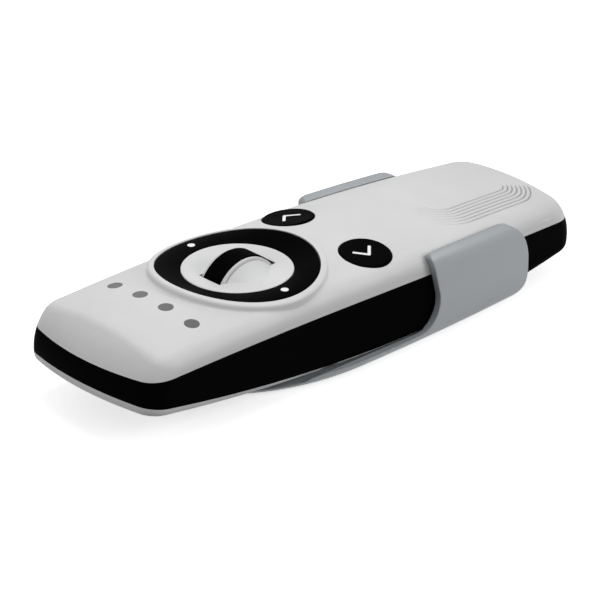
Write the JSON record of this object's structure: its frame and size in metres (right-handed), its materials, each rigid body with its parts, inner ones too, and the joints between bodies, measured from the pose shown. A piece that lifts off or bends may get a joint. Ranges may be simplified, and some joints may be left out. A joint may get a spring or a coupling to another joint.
{
  "type": "smart remote control",
  "caption": "Slim handheld smart remote with a thumbwheel in a rocking ring, round keys and signal lamps, lying in an open wall holder with side arms.",
  "frame": {"origin": "middle of the object's footprint, on the plane of the holder's flat back", "axes": "+Y runs along the handset from its lamp nose to its grip end, +Z points out of the wall towards the controls, +X to the right seen from above with the nose nearest"},
  "size_m": [0.0506, 0.1552, 0.0302],
  "materials": {
    "casing_light": "satin, very fine grain",
    "key_light": "satin",
    "key_black": "smooth satin black",
    "holder_light": "satin, very fine grain",
    "frame_grey": "as moulded",
    "band_black": "satin black",
    "band_plastic": "satin black",
    "tread_black": "matt, finely ribbed",
    "switch_black": "matt",
    "board_green": "solder mask, satin",
    "radio_can": "plain tinned can",
    "antenna_copper": "bright",
    "led_clear": "milky",
    "lens_smoke": "smoked",
    "screw_steel": "zinc plated",
    "cell_steel": "polished",
    "contact_nickel": "nickel plated spring steel"
  },
  "bodies": {
    "holder": {"holder_cradle": "holder_light"},
    "handset": {"top_shell": "casing_light", "side_band": "band_black", "bottom_shell": "casing_light", "case_screws": "screw_steel", "battery_door": "casing_light", "battery_door_screw": "screw_steel", "coin_cell": "cell_steel", "battery_contact_minus": "contact_nickel", "battery_contact_plus": "contact_nickel", "circuit_board": "board_green", "ring_switches": "switch_black", "centre_switch": "switch_black", "channel_switches": "switch_black", "pairing_switch": "switch_black", "radio_module": "radio_can", "antenna": "antenna_copper", "indicator_leds": "led_clear", "lamp_lenses": "lens_smoke", "key_frame": "frame_grey"},
    "rocking_ring": {"control_ring": "key_black"},
    "wheel_carrier": {"centre_button": "key_light", "wheel_encoder": "switch_black"},
    "thumbwheel": {"wheel_hub": "key_light", "wheel_tyre": "tread_black", "wheel_axle": "screw_steel"},
    "left_key": {"channel_button_left": "key_black"},
    "right_key": {"channel_button_right": "key_black"},
    "pairing_key": {"pairing_button": "band_plastic"}
  },
  "joints": [
    {"name": "handset_slide", "type": "slide", "parent": "holder", "child": "handset", "axis": [0, -1, 0], "range_m": [0, 0.128]},
    {"name": "ring_rock", "type": "hinge", "parent": "handset", "child": "rocking_ring", "pos_m": [0, -0.02595, 0.024], "axis": [1, 0, 0], "range_deg": [-2, 2], "stiffness_Nm_per_rad": 0.6},
    {"name": "centre_press", "type": "slide", "parent": "handset", "child": "wheel_carrier", "axis": [0, 0, -1], "range_m": [0, 0.0006], "stiffness_N_per_m": 1500},
    {"name": "wheel_spin", "type": "hinge", "parent": "wheel_carrier", "child": "thumbwheel", "pos_m": [0, -0.02595, 0.01975], "axis": [1, 0, 0], "continuous": true},
    {"name": "left_key_press", "type": "slide", "parent": "handset", "child": "left_key", "axis": [0.1533, 0, -0.9882], "range_m": [0, 0.0006], "stiffness_N_per_m": 1500},
    {"name": "right_key_press", "type": "slide", "parent": "handset", "child": "right_key", "axis": [-0.1533, 0, -0.9882], "range_m": [0, 0.0006], "stiffness_N_per_m": 1500},
    {"name": "pairing_press", "type": "slide", "parent": "handset", "child": "pairing_key", "axis": [0, 0, 1], "range_m": [0, 0.0006], "stiffness_N_per_m": 1500}
  ]
}
